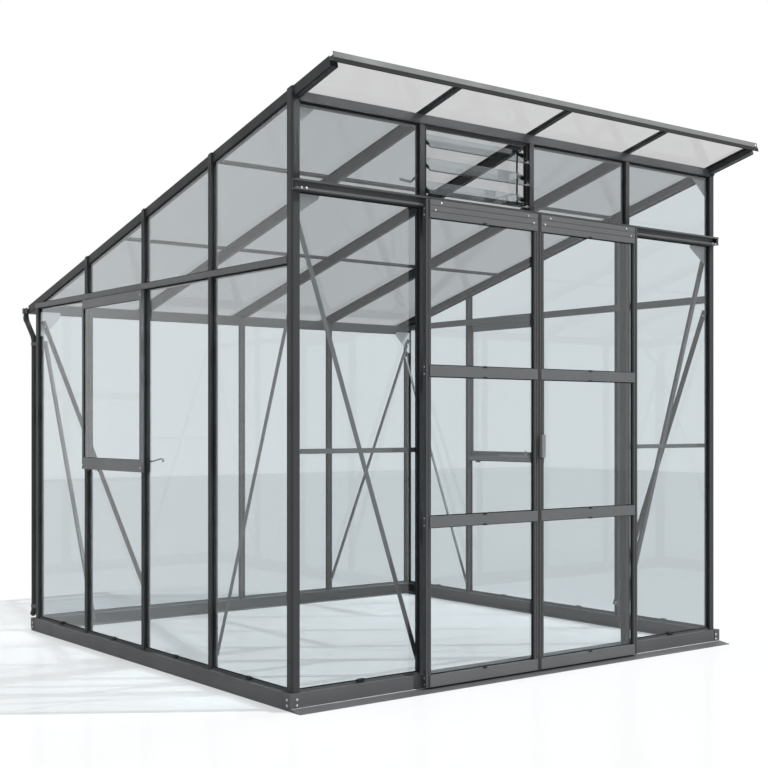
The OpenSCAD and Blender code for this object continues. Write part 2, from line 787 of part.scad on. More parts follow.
// Downpipe: a spigot under the gutter, a swan neck to the post, a straight fall and a shoe.
module downpipe() color(frame_paint) placed() translate([pipe_x, outlet_y, outlet_z]) {
    translate([0, 0, -pipe_spigot]) {
        pipe_run(pipe_spigot);
        pipe_elbow(pipe_bend_angle);
        translate([0, -pipe_bend_r, 0]) rotate([-pipe_bend_angle, 0, 0])
            translate([0, pipe_bend_r, -neck_run]) pipe_run(neck_run);
    }
    translate([0, -neck_shift, -pipe_spigot - neck_drop]) {
        rotate([180, 0, 0]) pipe_elbow(pipe_bend_angle);
        translate([0, 0, pipe_foot_z - neck_end_z]) {
            pipe_run(neck_end_z - pipe_foot_z);
            rotate([0, 0, 180]) pipe_elbow(pipe_foot_angle);
        }
    }
}

// Clips round the downpipe, each on an arm from the corner post.
module downpipe_clips() color(black_plastic) placed() {
    arm_y = base_d - wall_inset;
    for (z = [pipe_foot_z + clip_bend_gap, neck_end_z - clip_bend_gap - clip_h])
        translate([pipe_x, 0, z]) difference() {
            union() {
                translate([0, pipe_y, 0]) cylinder(h = clip_h, r = pipe_r + clip_t);
                translate([-pipe_r / 2, arm_y, 0]) cube([pipe_r, pipe_y - arm_y, clip_h]);
            }
            translate([0, pipe_y, -tiny]) cylinder(h = clip_h + 2 * tiny, r = pipe_r + clip_play);
        }
}

// A flat bar between two points of a wall's inner face. A pad of its own thickness carries the
// lower end, and the upper one unless it lies on a gusset plate.
module brace(x0, z0, x1, z1, on_gusset = false) {
    run = norm([x1 - x0, z1 - z0]);
    angle = atan2(z1 - z0, x1 - x0);
    translate([x0, 0, z0]) rotate([0, -angle, 0]) translate([0, 0, -flat_bar_w / 2]) {
        translate([0, flat_bar_t, 0]) cube([run, flat_bar_t, flat_bar_w]);
        for (s = on_gusset ? [run - flat_bar_w] : [0, run - flat_bar_w])
            translate([s, 0, 0]) cube([flat_bar_w, flat_bar_t + tiny, flat_bar_w]);
    }
}

// Diagonal braces in the two end bays of every wall.
module wall_braces() color(frame_paint) placed() both_sides() {
    corner_x = -half_w + brace_corner;
    translate([0, inner_face, 0])
        brace(corner_x, transom_z - brace_head, front_x(1), brace_foot_z, on_gusset = true);
    translate([0, base_d - inner_face, 0]) mirror([0, 1, 0])
        brace(corner_x, back_under - brace_head, front_x(1), brace_foot_z, on_gusset = true);
    translate([-half_w + inner_face, 0, 0]) rotate([0, 0, 90]) mirror([0, 1, 0]) {
        brace(brace_corner, eave_under - eave_lip - brace_head, side_y(1), brace_foot_z);
        brace(base_d - brace_corner, back_brace_z, side_y(side_bays - 1), brace_foot_z);
    }
}

// Triangular plates at the top corners, inside the bars and clear of the side walls' glass.
module corner_gussets() color(frame_paint) placed() both_sides() {
    x0 = -half_w + behind_glass + glass_play;
    difference() {
        translate([x0, inner_face, head_under]) gusset(front_gusset_w, front_gusset_h);
        edge_rafter_space();
    }
    translate([x0, inner_face, transom_z]) gusset(low_gusset_w, low_gusset_h);
    translate([x0, base_d - inner_face, back_under]) mirror([0, 1, 0]) gusset(back_gusset_w, back_gusset_h);
}

module gusset(w, h) {
    rotate([90, 0, 0]) mirror([0, 0, 1]) linear_extrude(flat_bar_t)
        polygon([[0, gusset_lap], [w, gusset_lap], [w, -gusset_edge], [gusset_edge, -h], [0, -h]]);
}

// A pane of the front wall in bay i, from z0 to z1.
module front_pane(i, z0, z1) {
    x0 = front_x(i) + half_bar(i, 4) - glass_bite;
    x1 = front_x(i + 1) - half_bar(i + 1, 4) + glass_bite;
    translate([x0, wall_inset + glass_in, z0]) cube([x1 - x0, glass_t, z1 - z0]);
}

module front_fixed_panes() color(glass_tint) placed() {
    for (i = [0, 3])
        front_pane(i, pane_foot, transom_z + glass_bite);
}

module front_upper_panes() color(glass_tint) placed() {
    for (i = [0, 2, 3])
        front_pane(i, transom_top - glass_bite, head_under + glass_bite);
}

module back_panes() color(glass_tint) placed() {
    for (i = [0 : 3])
        translate([0, base_d, 0]) mirror([0, 1, 0]) front_pane(i, pane_foot, back_under + glass_bite);
}

// Panes of the left wall under the eave rail; the window's bay has a short one below the sill bar.
module side_panes() {
    for (i = [0 : side_bays - 1]) {
        top = i == window_i ? window_z + window_sill_lift : eave_under;
        translate([-half_w + wall_inset + glass_in, side_pane_y0(i), pane_foot])
            cube([glass_t, side_pane_y1(i) - side_pane_y0(i), top + glass_bite - pane_foot]);
    }
}

module left_panes() color(glass_tint) placed() side_panes();

module right_panes() color(glass_tint) placed() mirror([1, 0, 0]) side_panes();

// Panes between the eave rails and the roof's edge bars, cut to the slope.
module gable_panes() color(glass_tint) placed() both_sides() {
    foot = eave_top - glass_bite;
    top_n = rafter_d - glass_bite;
    for (i = [0 : side_bays - 1]) {
        y0 = side_pane_y0(i);
        y1 = min(side_pane_y1(i), base_d - inner_face);
        along_x(-half_w + wall_inset + glass_in, glass_t)
            polygon([[y0, foot], [y1, foot], [y1, roof_z(y1, top_n)], [y0, roof_z(y0, top_n)]]);
    }
}

// Roof panes in three rows, the first in the front cap and the last over the gutter.
module roof_panes() color(glass_tint) placed() {
    half_strip = strip_w / 2 - glass_bite;
    drip_s = roof_s_at(roof_back_y + gutter_t + drip_reach, roof_glass_n);
    starts = [-cap_depth + glass_edge_gap, strip_s(1) + half_strip, strip_s(2) + half_strip];
    ends = [strip_s(1) - half_strip, strip_s(2) - half_strip, drip_s];
    for (i = [0 : 3], row = [0 : 2])
        roof_slab(roof_bay_x0(i) - glass_bite, roof_bay_x1(i) + glass_bite,
            starts[row], ends[row], roof_glass_n, roof_glass_n + glass_t);
}

// Top-hung window frames in front of the bars, grooved for their panes.
module window_frames() color(frame_paint) placed() both_sides() difference() {
    translate([window_x, window_y0, window_z])
        cube([window_d, window_y1 - window_y0, window_z1 - window_z]);
    translate([-over, 0, 0]) window_light(window_x, window_d + 2 * over, 0);
    window_light(window_x + window_glass_in - glass_play, groove_w, groove_d);
}

// A slab of a window's opening from x on, wider than the opening by its bite into the frame.
module window_light(x, depth, bite) {
    side = window_stile_w - bite;
    foot = window_bottom_h - bite;
    translate([x, window_y0 + side, window_z + foot])
        cube([depth, window_y1 - window_y0 - 2 * side, window_z1 - window_z - window_top_h - foot + bite]);
}

module window_panes() color(glass_tint) placed() both_sides() {
    window_light(window_x + window_glass_in, glass_t, glass_bite);
}

// Sill bars behind the windows' bottom rails, grooved below for the short panes.
module window_sill_bars() color(frame_paint) placed() both_sides() {
    y0 = side_y(window_i) + bar_w / 2;
    y1 = side_y(window_i + 1) - bar_w / 2;
    translate([-half_w, 0, 0]) along_y(y0, y1 - y0) difference() {
        translate([wall_inset, window_z + window_sill_lift]) square([bar_d, window_sill_h]);
        translate([wall_inset + bar_cap_d, window_z + window_sill_lift]) square([groove_w, groove_d]);
    }
}

// Stays: an arm on the sill bar, and a flat bar with a curled end along it.
module window_stays() color(bright_zinc) placed() both_sides() {
    stay_x = -half_w + inner_face;
    mid_y = (window_y0 + window_y1) / 2;
    stay_z = window_z + window_sill_lift + window_sill_h;
    translate([stay_x - bar_d + groove_d, mid_y - stay_arm_w / 2, stay_z])
        cube([bar_d - groove_d + flat_bar_t, stay_arm_w, stay_h]);
    translate([stay_x, mid_y - stay_l, stay_z]) cube([flat_bar_t, stay_l, stay_h]);
    translate([stay_x, mid_y - stay_l, stay_z + stay_curl_r + stay_h])
        rotate([0, 90, 0]) rotate([0, 0, 180])
        linear_extrude(flat_bar_t) intersection() {
            difference() {
                circle(stay_curl_r + stay_h);
                circle(stay_curl_r);
            }
            translate([-2 * stay_curl_r - stay_h, -4 * stay_curl_r]) square(4 * stay_curl_r);
        }
}

// Places a blade's middle, leaning, at its height in the louvre window.
module at_blade(k) {
    translate([0, louvre_y, transom_top + (k + 0.5) * louvre_pitch]) rotate([-blade_lean, 0, 0]) children();
}

// Side channels of the louvre window, each with a clip for every blade.
module louvre_frame() color(black_plastic) placed() difference() {
    for (x = [louvre_x0, louvre_x1 - louvre_channel_w]) {
        translate([x, louvre_y - louvre_channel_d / 2, transom_top])
            cube([louvre_channel_w, louvre_channel_d, louvre_top - transom_top]);
        clip_x = x == louvre_x0 ? x + louvre_channel_w - tiny : x - blade_bite + tiny;
        for (k = [0 : louvre_count - 1])
            at_blade(k) translate([clip_x, -blade_clip_t / 2, -blade_clip_l / 2])
                cube([blade_bite, blade_clip_t, blade_clip_l]);
    }
    for (k = [0 : louvre_count - 1])
        at_blade(k) translate([louvre_x0 + louvre_channel_w, -groove_w / 2, -blade_w])
            cube([louvre_x1 - louvre_x0 - 2 * louvre_channel_w, groove_w, 2 * blade_w]);
}

module louvre_blades() color(glass_tint) placed() {
    length = louvre_x1 - louvre_x0 - 2 * louvre_channel_w - 2 * glass_edge_gap;
    for (k = [0 : louvre_count - 1])
        at_blade(k) translate([louvre_x0 + louvre_channel_w + glass_edge_gap, -glass_t / 2, -blade_w / 2])
            cube([length, glass_t, blade_w]);
}

// Space of the track behind the upper ends of the left leaf.
module track_space() {
    along_x(-leaf_outer_x - over, leaf_w + 2 * over)
        translate([hanger_back_y, leaf_body_top]) square([leaf_d, leaf_top_z]);
}

// Stiles of the left leaf, grooved for the panes, each with a line down its front.
module leaf_stiles() difference() {
    for (x = [-leaf_outer_x, -meeting_half - stile_w])
        translate([x, 0, leaf_z]) linear_extrude(leaf_top_z - leaf_z) difference() {
            translate([0, leaf_front_y]) square([stile_w, leaf_d]);
            translate([x == -leaf_outer_x ? stile_w - groove_d : 0, leaf_glass_y]) square([groove_d, groove_w]);
            translate([(stile_w - line_w) / 2, leaf_front_y]) square([line_w, line_d]);
        }
    track_space();
}

// A rail from z up: a body between the stiles, grooved for the panes over and under it, and a
// front plate that laps the stiles.
module leaf_rail(z, h, over_pane, under_pane) {
    lap_x0 = leaf_rail_x0 - rail_lap_out;
    along_x(lap_x0, leaf_rail_l + rail_lap_out + rail_lap_in)
        translate([rail_front_y, z]) square([rail_proud, h]);
    along_x(leaf_rail_x0, leaf_rail_l) difference() {
        translate([rail_front_y, z]) square([rail_proud + leaf_d, h]);
        if (over_pane)
            translate([leaf_glass_y, z]) square([groove_w, groove_d]);
        if (under_pane)
            translate([leaf_glass_y, z + h - groove_d]) square([groove_w, groove_d]);
    }
}

// Rails of the left leaf; the top one rises in front of the track and has two lines along it.
module leaf_rails() {
    leaf_rail(leaf_z, leaf_bottom_h, false, true);
    for (k = [1, 2])
        leaf_rail(leaf_pane_z(k) - leaf_mid_h, leaf_mid_h, true, true);
    difference() {
        leaf_rail(leaf_top_rail_z, leaf_top_h, true, false);
        track_space();
        for (k = [1, 2])
            along_x(-leaf_outer_x, leaf_w)
                translate([rail_front_y, leaf_top_z - k * leaf_top_h / 3]) square([line_d, line_w]);
    }
}

module leaf_panes() {
    for (k = [0 : 2])
        translate([leaf_rail_x0 - glass_bite, leaf_glass_y + glass_play, leaf_pane_z(k) - glass_bite])
            cube([leaf_rail_l + 2 * glass_bite, glass_t, leaf_pane_h(k) + 2 * glass_bite]);
}

// Rollers in the track, each on an axle from the top rail's back.
module leaf_rollers() {
    roller_y = (track_front_y + track_t + wall_inset - track_t - roller_w) / 2;
    for (x = [-leaf_outer_x + roller_inset, -meeting_half - roller_inset])
        translate([x, 0, roller_z]) rotate([-90, 0, 0]) {
            translate([0, 0, roller_y]) cylinder(h = roller_w, r = roller_r);
            translate([0, 0, hanger_back_y]) cylinder(h = roller_y - hanger_back_y + tiny, r = axle_r);
        }
}

module left_door_stiles() color(frame_paint) placed() leaf_stiles();

module left_door_rails() color(frame_paint) placed() leaf_rails();

module left_door_panes() color(glass_tint) placed() leaf_panes();

module left_door_rollers() color(black_plastic) placed() leaf_rollers();

module right_door_stiles() color(frame_paint) placed() mirror([1, 0, 0]) leaf_stiles();

module right_door_rails() color(frame_paint) placed() mirror([1, 0, 0]) leaf_rails();

module right_door_panes() color(glass_tint) placed() mirror([1, 0, 0]) leaf_panes();

module right_door_rollers() color(black_plastic) placed() mirror([1, 0, 0]) leaf_rollers();

// Pull handle on the right leaf's meeting stile: a plate with a grip along its edge.
module door_handle() color(black_plastic) placed() {
    x = meeting_half + (stile_w - handle_w) / 2;
    translate([x, leaf_front_y - handle_t, handle_z - handle_h / 2]) cube([handle_w, handle_t, handle_h]);
    translate([x, leaf_front_y - handle_t - handle_grip, handle_z - handle_h / 2])
        cube([handle_grip_w, handle_grip + tiny, handle_h]);
}

base_front();
base_back();
base_left();
base_right();
base_corner_plates();
door_sill();
front_corner_posts();
back_corner_posts();
front_posts();
left_wall_posts();
right_wall_posts();
back_wall_posts();
eave_rails();
back_eave_beam();
front_head_beam();
front_transoms();
door_track();
front_mid_bars();
gable_rafters();
inner_rafters();
roof_cross_strips();
roof_front_cap();
gutter();
downpipe();
downpipe_clips();
wall_braces();
corner_gussets();
front_fixed_panes();
front_upper_panes();
left_panes();
right_panes();
gable_panes();
back_panes();
roof_panes();
window_frames();
window_panes();
window_sill_bars();
window_stays();
louvre_frame();
louvre_blades();
left_door_stiles();
left_door_rails();
left_door_panes();
left_door_rollers();
right_door_stiles();
right_door_rails();
right_door_panes();
right_door_rollers();
door_handle();
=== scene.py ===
import bmesh
import bpy
import numpy as np
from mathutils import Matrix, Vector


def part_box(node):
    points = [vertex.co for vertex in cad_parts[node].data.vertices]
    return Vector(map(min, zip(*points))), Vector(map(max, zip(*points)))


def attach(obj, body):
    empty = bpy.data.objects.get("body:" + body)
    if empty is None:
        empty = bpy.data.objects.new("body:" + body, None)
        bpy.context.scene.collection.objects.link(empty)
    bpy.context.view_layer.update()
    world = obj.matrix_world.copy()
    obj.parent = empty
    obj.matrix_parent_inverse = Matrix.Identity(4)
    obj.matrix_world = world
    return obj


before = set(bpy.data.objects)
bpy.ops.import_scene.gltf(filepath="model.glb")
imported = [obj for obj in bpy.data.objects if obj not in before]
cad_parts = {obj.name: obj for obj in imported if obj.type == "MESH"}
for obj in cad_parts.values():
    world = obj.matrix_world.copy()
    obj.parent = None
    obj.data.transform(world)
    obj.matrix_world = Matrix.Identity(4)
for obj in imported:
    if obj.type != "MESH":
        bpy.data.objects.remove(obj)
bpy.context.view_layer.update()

# Base: extruded aluminium channels that stand flat on the ground and carry the walls.
# Powder coated in satin grey. Plates are bolted round the corners where two rails meet, and a
# sloped threshold strip of bare-edged aluminium runs along the front.
FRONT_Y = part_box("base_front")[0][1]
HALF_W = 1285.0
DEPTH = 2570.0
BASE_TOP = 67.0
MIRROR = np.array((-1, 1, 1))


def spot(places):
    """Metres from millimetres: x from the middle, y back from the base's front face, z up."""
    return np.array(places, float).reshape(-1, 3) / 1000 + (0.0, FRONT_Y, 0.0)


def both_sides(places):
    """The places on the left and their mirror images on the right."""
    places = np.array(places, float).reshape(-1, 3)
    return np.concatenate([places, places * MIRROR])


def linear(hex_code):
    """An sRGB hex colour as linear red, green, blue and an alpha of 1."""
    part = np.array([int(hex_code[i:i + 2], 16) for i in (1, 3, 5)]) / 255
    value = np.where(part <= 0.04045, part / 12.92, ((part + 0.055) / 1.055) ** 2.4)
    return (*value.tolist(), 1.0)


def add_node(tree, kind, inputs, **settings):
    """Adds one shader node: settings are its properties, inputs its sockets, each a value or an output."""
    made = tree.nodes.new(kind)
    for name, value in settings.items():
        setattr(made, name, value)
    for name, value in inputs.items():
        if isinstance(value, bpy.types.NodeSocket):
            tree.links.new(value, made.inputs[name])
        else:
            made.inputs[name].default_value = value
    return made


def new_material(name):
    """An empty material with its output node."""
    made = bpy.data.materials.new(name)
    made.use_nodes = True
    made.node_tree.nodes.clear()
    return made, made.node_tree, made.node_tree.nodes.new("ShaderNodeOutputMaterial")


def powder_coat(name, dark, light, rough):
    """Powder-coated aluminium: baked paint, its tone and gloss in faint clouds 150 mm wide.

    The orange peel is about 2 mm wide, drawn coarse so that it shows; a low specular level keeps
    the dark paint dark in a white room."""
    made, tree, out = new_material(name)
    place = add_node(tree, "ShaderNodeTexCoord", {}).outputs["Object"]
    peel = add_node(tree, "ShaderNodeTexNoise", {"Vector": place, "Scale": 1 / 0.002, "Detail": 2.0})
    cloud = add_node(tree, "ShaderNodeTexNoise", {"Vector": place, "Scale": 1 / 0.15, "Detail": 4.0})
    tone = add_node(tree, "ShaderNodeMix", {"Factor": cloud.outputs["Fac"], 6: linear(dark),
        7: linear(light)}, data_type="RGBA")
    gloss = add_node(tree, "ShaderNodeMapRange", {"Value": cloud.outputs["Fac"], "From Min": 0.3,
        "From Max": 0.7, "To Min": rough + 0.06, "To Max": rough - 0.06})
    bump = add_node(tree, "ShaderNodeBump", {"Height": peel.outputs["Fac"], "Strength": 0.1,
        "Distance": 0.0004})
    paint = add_node(tree, "ShaderNodeBsdfPrincipled", {"Base Color": tone.outputs[2], "IOR": 1.5,
        "Specular IOR Level": 0.22, "Roughness": gloss.outputs["Result"], "Normal": bump.outputs["Normal"]})
    tree.links.new(paint.outputs["BSDF"], out.inputs["Surface"])
    return made


def dress(nodes, material):
    """Puts a material on CAD nodes."""
    for name in nodes:
        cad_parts[name].data.materials.clear()
        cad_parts[name].data.materials.append(material)


def turned(places, outward, profile, sides=14):
    """Turned pieces: a profile of radius and height, in mm, spun about the outward way at each place."""
    centre = spot(places)
    out = np.broadcast_to(np.array(outward, float), centre.shape)
    out = out / np.linalg.norm(out, axis=1, keepdims=True)
    guide = np.where(np.abs(out[:, 2:]) > 0.8, (1.0, 0.0, 0.0), (0.0, 0.0, 1.0))
    right = np.cross(guide, out)
    right /= np.linalg.norm(right, axis=1, keepdims=True)
    up = np.cross(out, right)
    angle = np.linspace(0, 2 * np.pi, sides + 1)
    ring = right[:, None, :] * np.cos(angle)[:, None] + up[:, None, :] * np.sin(angle)[:, None]
    radius, height = np.array(profile, float).T / 1000
    rise = (out[:, None] * height[:, None])[:, :, None]
    return centre[:, None, None] + ring[:, None] * radius[:, None, None] + rise


def carried(starts, ends, outward, outline):
    """Straight strips: a closed outline of across and out, in mm, carried from each start to its end.

    Both ends are closed by a row of points drawn together in the outline's middle."""
    first, last = spot(starts), spot(ends)
    along = (last - first) / np.linalg.norm(last - first, axis=1, keepdims=True)
    out = np.broadcast_to(np.array(outward, float), first.shape)
    across = np.cross(along, out)
    shape = np.array([*outline, outline[0]], float) / 1000
    ring = across[:, None] * shape[:, :1] + out[:, None] * shape[:, 1:]
    middle = np.broadcast_to(ring[:, :-1].mean(axis=1, keepdims=True), ring.shape)
    first, last = first[:, None], last[:, None]
    return np.stack([first + middle, first + ring, last + ring, last + middle], axis=1)


def flat(width, height, ease=0.6):
    """Outline of a flat strip on a face, its two outer edges eased."""
    half = width / 2
    return [(-half, 0), (half, 0), (half, height - ease), (half - ease, height), (ease - half, height),
        (-half, height - ease)]


def make(name, body, slot, material, *grids):
    """One piece out of stacks of grid surfaces, each an array of copies, rows, columns and xyz.

    Neighbouring grid points form the faces; doubled points are merged, which closes seams and ends."""
    points, faces, count = [], [], 0
    for grid in grids:
        index = count + np.arange(grid[..., 0].size).reshape(grid.shape[:3])
        quads = [index[:, :-1, :-1], index[:, 1:, :-1], index[:, 1:, 1:], index[:, :-1, 1:]]
        points.append(grid.reshape(-1, 3))
        faces.append(np.stack(quads, axis=-1).reshape(-1, 4))
        count += grid[..., 0].size
    mesh = bpy.data.meshes.new(name)
    mesh.from_pydata(np.concatenate(points).tolist(), [], np.concatenate(faces).tolist())
    shell = bmesh.new()
    shell.from_mesh(mesh)
    bmesh.ops.remove_doubles(shell, verts=shell.verts, dist=1e-6)
    bmesh.ops.recalc_face_normals(shell, faces=shell.faces)
    shell.to_mesh(mesh)
    shell.free()
    mesh.shade_smooth()
    mesh.set_sharp_from_angle(angle=np.radians(35))
    mesh.materials.append(material)
    piece = bpy.data.objects.new(name, mesh)
    bpy.context.scene.collection.objects.link(piece)
    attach(piece, body)


def bright_metal(name, colour, rough):
    """Zinc-plated steel: a metal with fine tumbled scratches about 1.5 mm long in its gloss."""
    made, tree, out = new_material(name)
    place = add_node(tree, "ShaderNodeTexCoord", {}).outputs["Object"]
    grain = add_node(tree, "ShaderNodeTexNoise", {"Vector": place, "Scale": 1 / 0.0015, "Detail": 3.0})
    gloss = add_node(tree, "ShaderNodeMapRange", {"Value": grain.outputs["Fac"], "To Min": rough - 0.1,
        "To Max": rough + 0.1})
    metal = add_node(tree, "ShaderNodeBsdfPrincipled", {"Base Color": linear(colour), "Metallic": 1.0,
        "Roughness": gloss.outputs["Result"]})
    tree.links.new(metal.outputs["BSDF"], out.inputs["Surface"])
    return made


def black_moulding(name, colour, rough, grain):
    """Black nylon or rubber: dull, with the fine grain of its mould, whose width is given in mm."""
    made, tree, out = new_material(name)
    place = add_node(tree, "ShaderNodeTexCoord", {}).outputs["Object"]
    pits = add_node(tree, "ShaderNodeTexNoise", {"Vector": place, "Scale": 1000 / grain, "Detail": 2.0})
    bump = add_node(tree, "ShaderNodeBump", {"Height": pits.outputs["Fac"], "Strength": 0.15,
        "Distance": 0.0003})
    gloss = add_node(tree, "ShaderNodeMapRange", {"Value": pits.outputs["Fac"], "To Min": rough - 0.08,
        "To Max": rough + 0.08})
    body = add_node(tree, "ShaderNodeBsdfPrincipled", {"Base Color": linear(colour), "IOR": 1.5,
        "Specular IOR Level": 0.25, "Roughness": gloss.outputs["Result"], "Normal": bump.outputs["Normal"]})
    tree.links.new(body.outputs["BSDF"], out.inputs["Surface"])
    return made


BUTTON_HEAD = [(4.8, 0), (4.8, 0.8), (4.2, 2.0), (2.7, 2.8), (2.0, 2.8), (1.9, 1.6), (0, 1.6)]
LARGE_HEAD = [(5.8, 0), (5.8, 1.0), (5.0, 2.2), (3.0, 3.0), (2.2, 3.0), (2.1, 1.8), (0, 1.8)]
PLATE_T = 2.0
PLATE_BOLT_X, PLATE_BOLT_Y, PLATE_BOLT_Z = 27.0, 23.0, (43.0, 21.0)
PLUG_X, PLUG_Y, PLUG_Z, PLUG_TALL = 1.0, 29.0, 4.0, 59.0
RAIL_PLUG = [(-25.5, -1), (25.5, -1), (25.5, 1), (-25.5, 1)]
SILL_EDGE_Y, SILL_EDGE_Z = -5.0, 10.5
base_paint = powder_coat("powder-coated aluminium, base grey", "#4f5051", "#595a5b", 0.5)
zinc = bright_metal("zinc-plated steel", "#b9bcbe", 0.32)
nylon = black_moulding("black nylon", "#121314", 0.55, 1.2)
dress(["base_front", "base_back", "base_left", "base_right", "base_corner_plates"], base_paint)
dress(["door_sill"], powder_coat("powder-coated aluminium, threshold", "#545657", "#5e6061", 0.48))
plate_bolts = [(PLATE_BOLT_X - HALF_W, -PLATE_T, z) for z in PLATE_BOLT_Z]
back_bolts = [(PLATE_BOLT_X - HALF_W, DEPTH + PLATE_T, z) for z in PLATE_BOLT_Z]
side_bolts = np.array([(-HALF_W - PLATE_T, y, z) for z in PLATE_BOLT_Z
    for y in (PLATE_BOLT_Y, DEPTH - PLATE_BOLT_Y)])
make("corner_plate_bolts", "frame", "bright_zinc", zinc,
    turned(both_sides(plate_bolts), (0, -1, 0), LARGE_HEAD),
    turned(both_sides(back_bolts), (0, 1, 0), LARGE_HEAD),
    turned(side_bolts, (-1, 0, 0), LARGE_HEAD),
    turned(side_bolts * MIRROR, (1, 0, 0), LARGE_HEAD))
plug_feet = both_sides([(PLUG_X - HALF_W, y, PLUG_Z) for y in (PLUG_Y, DEPTH - PLUG_Y)])
make("rail_end_plugs", "frame", "base_paint", base_paint,
    carried(plug_feet, plug_feet + (0, 0, PLUG_TALL), (1, 0, 0), RAIL_PLUG))
sill_ends = [[(x, SILL_EDGE_Y, SILL_EDGE_Z)] for x in (-HALF_W, HALF_W)]
make("threshold_edge", "frame", "bright_zinc", zinc, carried(*sill_ends, (0, 0, 1), flat(4, 1.6, 0.4)))

# Posts and bars: one extruded section with a glazing groove on each side, in dark powder coat.
# The corner posts have a rounded edge. A raised bead runs down the outer face of the side bars, in paint a
# shade paler than the bars: a painted highlight along the bars' rounded face. Black nylon caps close the
# upper ends of the front corner posts.
FRONT_BARS = [-1251.0, -625.5, 0.0, 625.5, 1251.0]
SIDE_BARS = [34.0, 659.5, 1285.0, 1910.5, 2536.0]
HALF_BAR = [18.0, 12.5, 12.5, 12.5, 18.0]
WALL_IN = 16.0
BAR_OUT = HALF_W - WALL_IN
EAVE_UNDER, EAVE_TOP = 1732.2, 1757.2
ROOF_TOP, ROOF_PITCH = 2417.0, np.radians(14)
BEAD, BEAD_UNDER_ROOF = flat(6, 1.2), 42.0
POST_CAP = [(17, 0), (17, 2.4), (14.5, 4), (6, 4), (5.4, 3), (0, 3)]
POST_CAP_X, POST_CAP_Z = 17.0, 2381.0


def roof_z(y, depth):
    """Height of the roof at y, a depth below the top of the roof bars, measured square to the slope."""
    return ROOF_TOP - (y - WALL_IN) * np.tan(ROOF_PITCH) - depth / np.cos(ROOF_PITCH)


bar_paint = powder_coat("powder-coated aluminium, dark bars", "#313334", "#3b3d3e", 0.46)
dress(["front_corner_posts", "back_corner_posts", "front_posts", "left_wall_posts", "right_wall_posts",
    "back_wall_posts"], bar_paint)
# The bead's paint is a shade paler than the bars': a painted highlight.
bead_highlight_paint = powder_coat("powder-coated aluminium, bead with painted highlight", "#333536", "#3d3f40", 0.5)
beaded_bars = SIDE_BARS[1:4]
bead_feet = np.array([(-BAR_OUT, y, z) for z in (BASE_TOP, EAVE_TOP) for y in beaded_bars])
bead_heads = np.array([(-BAR_OUT, y, EAVE_UNDER) for y in beaded_bars]
    + [(-BAR_OUT, y, roof_z(y, BEAD_UNDER_ROOF)) for y in beaded_bars])
make("side_bar_beads", "frame", "frame_paint", bead_highlight_paint,
    carried(bead_feet, bead_heads, (-1, 0, 0), BEAD),
    carried(bead_feet * MIRROR, bead_heads * MIRROR, (1, 0, 0), BEAD))
make("post_end_caps", "frame", "black_plastic", nylon,
    turned(both_sides([(POST_CAP_X - BAR_OUT, WALL_IN, POST_CAP_Z)]), (0, -1, 0), POST_CAP))

# Rails and beams: the eave rails, the head beam, the transoms and the track of the sliding door.
# Extruded aluminium in mid grey powder coat, darker on the beams and the transoms. The track has a
# nylon stop and two bolts at each end.
TRACK_FRONT = -12.0
TRACK_BOLT_X, TRACK_BOLT_Z = (-1243.0, -1220.0), 2018.0
STOP_X, STOP_Y, STOP_Z = (-1268.0, -1251.0), 2.0, 2014.0
rail_paint = powder_coat("powder-coated aluminium, mid grey rails", "#595b5d", "#636567", 0.44)
beam_paint = powder_coat("powder-coated aluminium, beams", "#383a3b", "#424445", 0.46)
dress(["eave_rails"], rail_paint)
dress(["back_eave_beam", "front_head_beam"], beam_paint)
dress(["front_transoms"], bar_paint)
dress(["door_track"], powder_coat("powder-coated aluminium, door track", "#535556", "#5d5f60", 0.46))
track_bolts = both_sides([(x, TRACK_FRONT, TRACK_BOLT_Z) for x in TRACK_BOLT_X])
make("track_bolts", "frame", "bright_zinc", zinc, turned(track_bolts, (0, -1, 0), BUTTON_HEAD))
stop_ends = [both_sides([(x, STOP_Y, STOP_Z)]) for x in STOP_X]
make("track_stops", "frame", "black_plastic", nylon, carried(*stop_ends, (0, 0, 1), flat(24, 36, 2)))

# Glazing: sheets of 4 mm float glass held in the grooves, with a faint sea-green tint.
# A black rubber gasket lies on the outside along every edge, wider under the head beam, the eave
# rails and the roof, and a nylon clip steadies the lower edge of each pane.
UPSTAND = BASE_TOP + 9
TRANSOM, TRANSOM_TOP, HEAD_UNDER, BACK_UNDER = 2009.9, 2051.9, 2360.9, 1702.0
SHORT_PANE_TOP, GABLE_PANE_DEPTH = 890.0, 41.0
GLASS_IN = 28.4
LEFT_GLASS = GLASS_IN - HALF_W
GASKET, WIDE_GASKET, GASKET_T = 5.0, 8.0, 3.0
INSET = GASKET / 2
CORNERS = ((0, 0), (1, 0), (1, 1), (0, 1))
PANE_CLIP, CLIP_Z = flat(14, 7, 1), UPSTAND + 2
FRONT_CLIP_X, SIDE_CLIP_Y = (-938.0, 938.0), (347.0, 972.0, 1598.0, 2223.0)
HALF_CLIP_X, HALF_CLIP_Y = np.array((17, 0, 0)), np.array((0, 17, 0))
front_edges = np.add(FRONT_BARS, HALF_BAR)[:4] + INSET, np.subtract(FRONT_BARS, HALF_BAR)[1:] - INSET
side_edges = np.add(SIDE_BARS, HALF_BAR)[:4] + INSET, np.subtract(SIDE_BARS, HALF_BAR)[1:] - INSET


